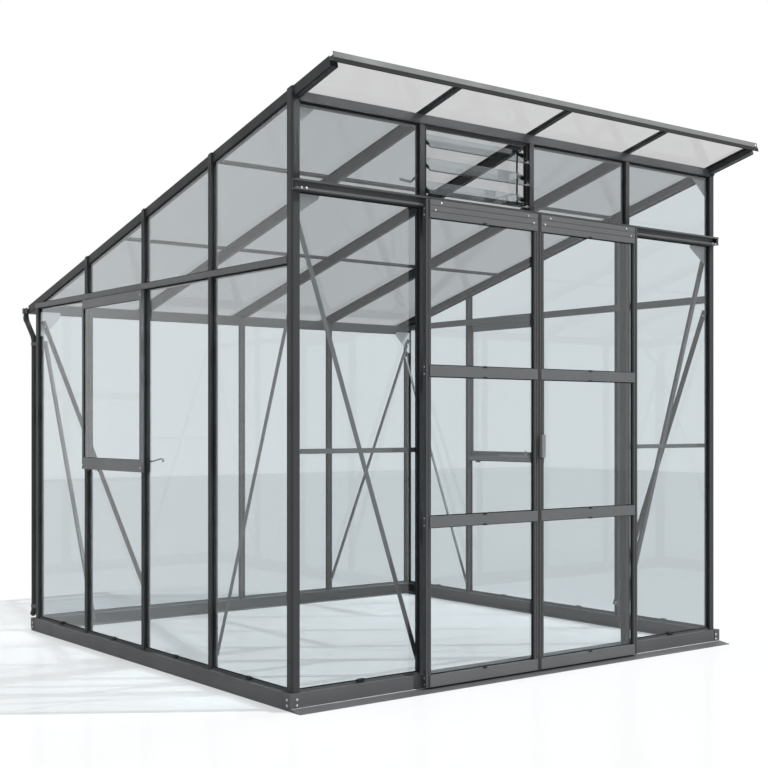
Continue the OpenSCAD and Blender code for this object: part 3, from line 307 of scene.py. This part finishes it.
def float_glass(name, tint, veil_tint, rough, ior, overhang_light_tint=None):
    """Float glass: two close tints in clouds 600 mm wide, mirrors more at a glancing angle.

    A paler tint, painted light where the overhang is lit from the front, takes over in front of the front
    wall. A lamp's ray meets both faces of a sheet, so its tint is the root of the sheet's."""
    made, tree, out = new_material(name)
    path = add_node(tree, "ShaderNodeLightPath", {})
    place = add_node(tree, "ShaderNodeTexCoord", {}).outputs["Object"]
    draw = add_node(tree, "ShaderNodeTexNoise", {"Vector": place, "Scale": 1 / 0.6, "Detail": 1.0})
    tone = add_node(tree, "ShaderNodeMix", {"Factor": draw.outputs["Fac"], 6: linear(tint[0]),
        7: linear(tint[1])}, data_type="RGBA")
    if overhang_light_tint:
        # Painted light: the paler tint takes over in front of the front wall.
        depth = add_node(tree, "ShaderNodeSeparateXYZ", {"Vector": place})
        inside = add_node(tree, "ShaderNodeMapRange", {"Value": depth.outputs["Y"],
            "From Min": FRONT_Y + 0.01, "From Max": FRONT_Y + 0.06})
        tone = add_node(tree, "ShaderNodeMix", {"Factor": inside.outputs["Result"], 6: linear(overhang_light_tint),
            7: tone.outputs[2]}, data_type="RGBA")
    glass = add_node(tree, "ShaderNodeBsdfPrincipled", {"Base Color": tone.outputs[2], "Roughness": rough,
        "IOR": ior, "Transmission Weight": 1.0})
    clear = add_node(tree, "ShaderNodeBsdfTransparent", {"Color": linear(veil_tint)})
    both = add_node(tree, "ShaderNodeMixShader", {0: path.outputs["Is Shadow Ray"],
        1: glass.outputs["BSDF"], 2: clear.outputs["BSDF"]})
    tree.links.new(both.outputs["Shader"], out.inputs["Surface"])
    return made


def edging(corners, outward, width, top):
    """Gaskets round panes: strips join each pane's four corners, and the one on top has its own width."""
    corners = np.array(corners, float)
    ring = np.roll(corners, -1, axis=1)
    sides = [carried(corners[:, k], ring[:, k], outward, flat(width, GASKET_T)) for k in (0, 1, 3)]
    return [*sides, carried(corners[:, 2], ring[:, 2], outward, flat(top, GASKET_T))]


def front_light(i, z0, z1, y):
    """Corners of a pane in bay i of the front or back wall, drawn in by half a gasket."""
    heights = z0 + INSET, z1 - INSET
    return [(front_edges[j][i], y, heights[k]) for j, k in CORNERS]


def side_light(i, low, high):
    """Corners of a pane in bay i of the left wall; high gives the top at a place along the wall."""
    y0, y1 = side_edges[0][i], side_edges[1][i]
    heights = (low + INSET, low + INSET, high(y1) - INSET, high(y0) - INSET)
    return [(LEFT_GLASS, y, z) for y, z in zip((y0, y1, y1, y0), heights)]


rubber = black_moulding("black glazing rubber", "#0d0e0e", 0.75, 0.8)
wall_glass = float_glass("float glass", ("#e3e8ea", "#e5eaec"), "#e6ebed", 0.0, 1.5)
dress(["front_fixed_panes", "front_upper_panes", "left_panes", "right_panes", "gable_panes", "back_panes"],
    wall_glass)
front_panes = [front_light(i, UPSTAND, TRANSOM, GLASS_IN) for i in (0, 3)]
upper_panes = [front_light(i, TRANSOM_TOP, HEAD_UNDER, GLASS_IN) for i in (0, 2, 3)]
back_panes = [front_light(i, UPSTAND, BACK_UNDER, DEPTH - GLASS_IN) for i in range(4)]
side_panes = [side_light(i, UPSTAND, lambda y: EAVE_UNDER) for i in (0, 1, 3)]
short_panes = [side_light(2, UPSTAND, lambda y: SHORT_PANE_TOP)]
gable_panes = [side_light(i, EAVE_TOP, lambda y: roof_z(y, GABLE_PANE_DEPTH)) for i in range(4)]
left_sheets = np.array(side_panes + short_panes + gable_panes)
make("glazing_gaskets", "frame", "black_plastic", rubber,
    *edging(front_panes, (0, -1, 0), GASKET, GASKET),
    *edging(upper_panes, (0, -1, 0), GASKET, WIDE_GASKET),
    *edging(back_panes, (0, 1, 0), GASKET, GASKET),
    *edging(left_sheets, (-1, 0, 0), GASKET, WIDE_GASKET),
    *edging(left_sheets * MIRROR, (1, 0, 0), GASKET, WIDE_GASKET))
front_clips = np.array([(x, GLASS_IN - GASKET_T, CLIP_Z) for x in FRONT_CLIP_X])
side_clips = np.array([(LEFT_GLASS - GASKET_T, y, CLIP_Z) for y in SIDE_CLIP_Y])
clip_ends = side_clips - HALF_CLIP_Y, side_clips + HALF_CLIP_Y
make("glazing_clips", "frame", "black_plastic", nylon,
    carried(front_clips - HALF_CLIP_X, front_clips + HALF_CLIP_X, (0, -1, 0), PANE_CLIP),
    carried(*clip_ends, (-1, 0, 0), PANE_CLIP),
    carried(*[end * MIRROR for end in clip_ends], (1, 0, 0), PANE_CLIP))

# Braces and gusset plates: slim aluminium bars across the corner bays, on the inside of the bars,
# each with a narrow flange folded in along its upper edge. The gusset plates are much paler.
# Nuts hold both to the bars' slots.
FLANGE = [(7.5, 0), (10, 0), (10, 12), (7.5, 12)]
NUT = [(5.6, 0), (5.6, 3.2), (3.2, 3.8), (3.2, 7), (0, 7)]
BRACE_IN, BRACE_CORNER = 58.0, 43.2
CORNER_X, LEFT_BRACE = BRACE_CORNER - HALF_W, BRACE_IN - HALF_W
FRONT_BRACE_TOP, BACK_BRACE_TOP = TRANSOM - 40, BACK_UNDER - 40
NEAR_BRACE_TOP, FAR_BRACE_TOP = EAVE_UNDER - 49, BACK_UNDER - 150
BRACE_FOOT, FOOT_NUT_Z = 127.0, 139.0
GUSSET_NUT = (CORNER_X + 30, 55, 2345)
SIDE_NUTS = ((55, 1660), (655, FOOT_NUT_Z), (DEPTH - 55, 1530), (1915, FOOT_NUT_Z))
brace_paint = powder_coat("powder-coated aluminium, flat bars", "#505254", "#5b5d5f", 0.46)
dress(["wall_braces", "front_mid_bars"], brace_paint)
dress(["corner_gussets"], powder_coat("powder-coated aluminium, pale plates", "#c4c6c8", "#cbcdcf", 0.46))
front_brace = (CORNER_X, BRACE_IN, FRONT_BRACE_TOP), (FRONT_BARS[1], BRACE_IN, BRACE_FOOT)
back_brace = (FRONT_BARS[1], DEPTH - BRACE_IN, BRACE_FOOT), (CORNER_X, DEPTH - BRACE_IN, BACK_BRACE_TOP)
near_brace = (LEFT_BRACE, SIDE_BARS[1], BRACE_FOOT), (LEFT_BRACE, BRACE_CORNER, NEAR_BRACE_TOP)
far_brace = (LEFT_BRACE, DEPTH - BRACE_CORNER, FAR_BRACE_TOP), (LEFT_BRACE, SIDE_BARS[3], BRACE_FOOT)
left_flanges = [carried(*front_brace, (0, 1, 0), FLANGE), carried(*back_brace, (0, -1, 0), FLANGE),
    carried(*near_brace, (1, 0, 0), FLANGE), carried(*far_brace, (1, 0, 0), FLANGE)]
make("brace_flanges", "frame", "frame_paint", brace_paint,
    *left_flanges, *[grid * MIRROR for grid in left_flanges])
front_nuts = both_sides([(CORNER_X + 12, BRACE_IN, TRANSOM - 66),
    (FRONT_BARS[1] - 4, BRACE_IN, FOOT_NUT_Z), GUSSET_NUT])
back_nuts = both_sides([(CORNER_X + 12, DEPTH - BRACE_IN, BACK_UNDER - 70),
    (FRONT_BARS[1] - 4, DEPTH - BRACE_IN, FOOT_NUT_Z)])
side_nuts = np.array([(LEFT_BRACE, y, z) for y, z in SIDE_NUTS])
make("brace_nuts", "frame", "bright_zinc", zinc,
    turned(front_nuts, (0, 1, 0), NUT, 6), turned(back_nuts, (0, -1, 0), NUT, 6),
    turned(side_nuts, (1, 0, 0), NUT, 6), turned(side_nuts * MIRROR, (-1, 0, 0), NUT, 6))

# Roof: sloping bars, darker tinted glass in three rows, strips between the rows, and a folded
# cap along the high front edge. The inner bars have a deeper sole. Bolts hold the bars at each
# strip, and a rubber drip lip lines the cap.
UP_SLOPE = np.array((0, np.sin(ROOF_PITCH), np.cos(ROOF_PITCH)))
CAP_OUT = np.array((0, -np.cos(ROOF_PITCH), np.sin(ROOF_PITCH)))
RAFTER_DEEP, SOLE_END = 40.0, 56.0
ROOF_START, ROOF_BOLT_RUN = -224.0, np.array((40, 925, 965, 1870, 1910, 2815))
EDGE_RAFTER = 1243.0
roof_paint = powder_coat("powder-coated aluminium, roof bars", "#27292a", "#313334", 0.48)
dress(["gable_rafters", "inner_rafters", "roof_cross_strips"], roof_paint)
dress(["roof_front_cap"], powder_coat("powder-coated aluminium, front cap", "#5f6162", "#696b6c", 0.54))
# The roof glass turns paler in front of the front wall: painted light on the lit overhang.
roof_glass = float_glass("tinted roof glass", ("#b3b5b6", "#b7b9ba"), "#e2e3e4", 0.06, 1.12, "#d1d1d1")
dress(["roof_panes"], roof_glass)
sole_ends = [[(x, y, roof_z(y, RAFTER_DEEP)) for x in FRONT_BARS[1:4]] for y in (SOLE_END, DEPTH - SOLE_END)]
make("rafter_soles", "frame", "frame_paint", roof_paint,
    carried(*sole_ends, -UP_SLOPE, flat(25, 13, 1.5)))
bolt_x = (-EDGE_RAFTER, *FRONT_BARS[1:4], EDGE_RAFTER)
bolt_y = ROOF_START + np.cos(ROOF_PITCH) * ROOF_BOLT_RUN
roof_bolts = [(x, y, roof_z(y, 0)) for x in bolt_x for y in bolt_y]
make("roof_bolts", "frame", "bright_zinc", zinc, turned(roof_bolts, UP_SLOPE, BUTTON_HEAD))
cap_lo, cap_hi = ((np.array(corner) - (0, FRONT_Y, 0)) * 1000 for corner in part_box("roof_front_cap"))
lip_start = cap_lo - (0, 0.2, 1.0)
make("cap_lip", "frame", "black_plastic", rubber,
    carried(lip_start, lip_start * MIRROR, CAP_OUT, flat(20, 2.5)))
make("cap_bolts", "frame", "bright_zinc", zinc,
    turned([(cap_hi[0] - 16, cap_lo[1] + 4.5, cap_lo[2] + 18)], CAP_OUT, BUTTON_HEAD))

# Gutter and downpipe: a folded aluminium trough along the low back edge and a round pipe with
# two bends, all in dark powder coat, held to the corner by lighter grey collars.
dress(["gutter", "downpipe"], bar_paint)
dress(["downpipe_clips"], rail_paint)

# Side windows: top-hung frames of welded aluminium in front of the bars, one in each side wall.
# Bolts hold the corners, a black drip clip lies under the lower rail, and a galvanised stay
# rests on the sill bar inside. A bent rod with a curled end stands out from the left window's bar.
WINDOW_OUT = -BAR_OUT - 14.3
WINDOW_BOLT_Y, WINDOW_BOLT_Z = (1281.0, 1914.5), (1705.0, 905.0)
WINDOW_GLASS, WINDOW_Y, WINDOW_Z = WINDOW_OUT + 5, (1292.0, 1904.0), (942.0, 1684.0)
DRIP_X, DRIP_Y, DRIP_Z = WINDOW_OUT + 7, (1840.0, 1872.0), 883.0
DRIP_CLIP = flat(12, 9, 1)
ROUND = np.array([(np.cos(a), np.sin(a)) for a in np.linspace(0, 2 * np.pi, 12, endpoint=False)])
HANDLE_PATH = np.array([(-1231, 1284, 935), (-1226, 1256, 936), (-1226, 1216, 944), (-1226, 1178, 949),
    (-1226, 1158, 946), (-1226, 1153, 940), (-1226, 1163, 937)], float)
window_paint = powder_coat("powder-coated aluminium, window frames", "#66686a", "#707274", 0.44)
dress(["window_frames", "window_sill_bars"], window_paint)
dress(["window_panes"], wall_glass)
galvanised = bright_metal("galvanised steel", "#8b8e90", 0.45)
dress(["window_stays"], galvanised)
window_bolts = np.array([(WINDOW_OUT, y, z) for y in WINDOW_BOLT_Y for z in WINDOW_BOLT_Z])
make("window_bolts", "frame", "bright_zinc", zinc,
    turned(window_bolts, (-1, 0, 0), BUTTON_HEAD),
    turned(window_bolts * MIRROR, (1, 0, 0), BUTTON_HEAD))
window_light = np.array([[(WINDOW_GLASS, WINDOW_Y[j], WINDOW_Z[k]) for j, k in CORNERS]])
make("window_gaskets", "frame", "black_plastic", rubber,
    *edging(window_light, (-1, 0, 0), 4, 4), *edging(window_light * MIRROR, (1, 0, 0), 4, 4))
drip_ends = [np.array((DRIP_X, y, DRIP_Z)) for y in DRIP_Y]
make("window_drip_clips", "frame", "black_plastic", nylon,
    carried(*drip_ends, (0, 0, -1), DRIP_CLIP),
    carried(*[end * MIRROR for end in drip_ends], (0, 0, -1), DRIP_CLIP))
make("window_handle", "frame", "bright_zinc", galvanised,
    carried(HANDLE_PATH[:-1], HANDLE_PATH[1:], (1, 0, 0), ROUND * 4))

# Louvre window: three leaning glass blades in nylon clips, between two side channels.
# A thin rod on the inside joins the blades through short links, and a grey lever on the left
# turns them.
BLADE_PITCH = 98.67
BLADE_Z = TRANSOM_TOP + BLADE_PITCH * (np.arange(3) + 0.5)
ROD_X, ROD_Y, ROD_Z, LINK_Y, LINK_RISE = -36.0, 76.0, (2085.0, 2345.0), 40.0, 22.0
LINK_PIN = [(6, 0), (6, 2), (4, 3), (0, 3)]
LEVER_PATH = (-612, 56, 2160), (-648, 66, 2122), (-700, 72, 2128)
SEAL_X, SEAL_Y, SEAL_Z = (-610.0, -15.0), 24.0, (2053.0, 2347.0)
dress(["louvre_frame"], nylon)
dress(["louvre_blades"], wall_glass)
rod_ends = [(ROD_X, ROD_Y, z) for z in ROD_Z]
link_ends = [(ROD_X, LINK_Y, z) for z in BLADE_Z], [(ROD_X, ROD_Y, z + LINK_RISE) for z in BLADE_Z]
link_pins = np.array(link_ends[1]) + (4, 0, 0)
make("louvre_linkage", "frame", "black_plastic", nylon,
    carried(*rod_ends, (0, 1, 0), ROUND * 4),
    carried(*link_ends, (1, 0, 0), flat(12, 4)),
    turned(link_pins, (1, 0, 0), LINK_PIN))
make("louvre_lever", "frame", "bright_zinc", bright_metal("cast zinc lever", "#8f9294", 0.45),
    carried(LEVER_PATH[0], LEVER_PATH[1], (0, 1, 0), flat(9, 5, 1)),
    carried(LEVER_PATH[1], LEVER_PATH[2], (0, 1, 0), flat(11, 6, 1)))
seal_ends = [[(x, SEAL_Y, z) for x in SEAL_X] for z in SEAL_Z]
make("louvre_seals", "frame", "black_plastic", rubber, carried(*seal_ends, (0, -1, 0), flat(6, 6)))

# Sliding door: two leaves of dark stiles and lighter grey rails that lap them, hung from the track on nylon
# rollers. Bolts join rails and stiles, rubber lines hold the panes, and a thin plate sits on the front of
# the handle on the right leaf. The handle and its plate carry a paint paler than the rails: painted light on
# the handle's shaded side.
RAIL_FRONT, LEAF_GLASS = -33.0, -15.6
LEAF_X, LEAF_PANES = (-614.5, -30.5), [(67.0, 676.0), (726.0, 1304.0), (1354.0, 1963.0)]
HANDLE_X, HANDLE_Z = 23.5, (959.0, 1061.0)
RAIL_BOLTS = np.array([(-563, RAIL_FRONT, 2027), (-595, RAIL_FRONT, 1996), (-67, RAIL_FRONT, 2025),
    (-34, RAIL_FRONT, 1995)])
SMALL_HEAD = [(3.6, 0), (3.6, 0.8), (2.4, 1.8), (0, 1.8)]
EDGE_BOLTS = np.array([(-642.5, -18, z) for z in (2001, 1975, 1345, 1315, 717, 687, 54, 28)])
RAIL_CLIPS = np.array([(-322, RAIL_FRONT, z) for z in (1965, 1352, 1306, 724, 678, 65)])
HALF_RAIL_CLIP = np.array((10, 0, 0))
stile_paint = powder_coat("powder-coated aluminium, door stiles", "#3e4041", "#494b4c", 0.46)
dress(["left_door_stiles", "right_door_stiles"], stile_paint)
dress(["left_door_rails", "right_door_rails"], rail_paint)
# Paler paint than the rails on the handle: painted light on its shaded side.
handle_lightened_paint = powder_coat("powder-coated aluminium, handle paler for painted light", "#76787a", "#808284", 0.44)
dress(["door_handle"], handle_lightened_paint)
# A thin plate over the handle's front in the same paler paint: painted light.
cover_ends = [(HANDLE_X, RAIL_FRONT, z) for z in HANDLE_Z]
make("handle_plate_painted_light", "right_door", "frame_paint", handle_lightened_paint,
    carried(*cover_ends, (0, -1, 0), flat(25, 2.5)))
dress(["left_door_panes", "right_door_panes"], wall_glass)
dress(["left_door_rollers", "right_door_rollers"], nylon)
leaf_lights = np.array([[(LEAF_X[j], LEAF_GLASS, pane[k]) for j, k in CORNERS] for pane in LEAF_PANES])
for body, side in (("left_door", 1), ("right_door", -1)):
    turn = (side, 1, 1)
    make(body + "_gaskets", body, "black_plastic", rubber, *edging(leaf_lights * turn, (0, -1, 0), 4, 4))
    make(body + "_bolts", body, "bright_zinc", zinc,
        turned(RAIL_BOLTS * turn, (0, -1, 0), BUTTON_HEAD),
        turned(EDGE_BOLTS * turn, (-side, 0, 0), SMALL_HEAD))
    make(body + "_rail_clips", body, "black_plastic", nylon,
        carried((RAIL_CLIPS - HALF_RAIL_CLIP) * turn, (RAIL_CLIPS + HALF_RAIL_CLIP) * turn, (0, -1, 0),
            flat(8, 2)))

# Studio: a broad pale floor with a faint gloss, a white room, and one soft lamp high at the
# front right, which draws the bars' pale shadows on the floor inside and on the left. The floor
# glows less where it is seen through glass, so that it looks darker there.
FLOOR_REACH = 20.0
FLOOR_GLOW, FLOOR_GLOW_SEEN, FLOOR_GLOSS = 0.32, 0.49, 0.05
ROOM_LIGHT, LAMP_LIGHT = 0.66, 3.2
floor_mesh = bpy.data.meshes.new("studio_floor")
floor_corners = FLOOR_REACH * np.array([(-1, -1, 0), (1, -1, 0), (1, 1, 0), (-1, 1, 0)])
floor_mesh.from_pydata(floor_corners.tolist(), [], [(0, 1, 2, 3)])
floor = bpy.data.objects.new("studio_floor", floor_mesh)
bpy.context.scene.collection.objects.link(floor)
white, tree, out = new_material("studio white lacquer")
face = add_node(tree, "ShaderNodeBsdfDiffuse", {"Color": linear("#acacac")})
path = add_node(tree, "ShaderNodeLightPath", {})
level = add_node(tree, "ShaderNodeMapRange", {"Value": path.outputs["Is Camera Ray"],
    "To Min": FLOOR_GLOW, "To Max": FLOOR_GLOW_SEEN})
glow = add_node(tree, "ShaderNodeEmission", {"Color": linear("#fafcfd"),
    "Strength": level.outputs["Result"]})
sheen = add_node(tree, "ShaderNodeBsdfGlossy", {"Color": linear("#ffffff"), "Roughness": 0.12})
lit = add_node(tree, "ShaderNodeAddShader", {0: face.outputs["BSDF"], 1: glow.outputs["Emission"]})
both = add_node(tree, "ShaderNodeMixShader", {0: FLOOR_GLOSS, 1: lit.outputs["Shader"],
    2: sheen.outputs["BSDF"]})
tree.links.new(both.outputs["Shader"], out.inputs["Surface"])
floor_mesh.materials.append(white)

world = bpy.data.worlds.new("studio room")
bpy.context.scene.world = world
world.use_nodes = True
tree = world.node_tree
tree.nodes.clear()
path = add_node(tree, "ShaderNodeLightPath", {})
seen = add_node(tree, "ShaderNodeMath", {0: path.outputs["Is Camera Ray"], 1: path.outputs["Is Glossy Ray"]},
    operation="MAXIMUM")
seen = add_node(tree, "ShaderNodeMath", {0: seen.outputs["Value"], 1: path.outputs["Is Transmission Ray"]},
    operation="MAXIMUM")
room = add_node(tree, "ShaderNodeBackground", {"Color": linear("#ffffff"), "Strength": ROOM_LIGHT})
backdrop = add_node(tree, "ShaderNodeBackground", {"Color": linear("#ffffff"), "Strength": 1.0})
both = add_node(tree, "ShaderNodeMixShader", {0: seen.outputs["Value"], 1: room.outputs["Background"],
    2: backdrop.outputs["Background"]})
out = tree.nodes.new("ShaderNodeOutputWorld")
tree.links.new(both.outputs["Shader"], out.inputs["Surface"])

lamp_data = bpy.data.lights.new("studio lamp", "SUN")
lamp_data.energy = LAMP_LIGHT
lamp_data.angle = np.radians(0.8)
lamp = bpy.data.objects.new("studio lamp", lamp_data)
bpy.context.scene.collection.objects.link(lamp)
lamp.rotation_euler = (np.radians(25), np.radians(42), 0.0)

# Camera at the photograph's viewpoint: level at about chest height, with its frame shifted so
# that upright edges stay upright in the picture.
camera_data = bpy.data.cameras.new("camera")
camera = bpy.data.objects.new("camera", camera_data)
bpy.context.scene.collection.objects.link(camera)
camera_data.lens = 60.89
camera_data.sensor_width = 36.0
camera_data.shift_x = -0.0569
camera_data.shift_y = 0.0539
camera.location = spot([(-3995.8, -4222.3, 1102.1)])[0]
camera.rotation_euler = (np.radians(90.0), 0.0, np.radians(-38.724))
bpy.context.scene.camera = camera

bpy.context.scene.view_settings.view_transform = "Standard"
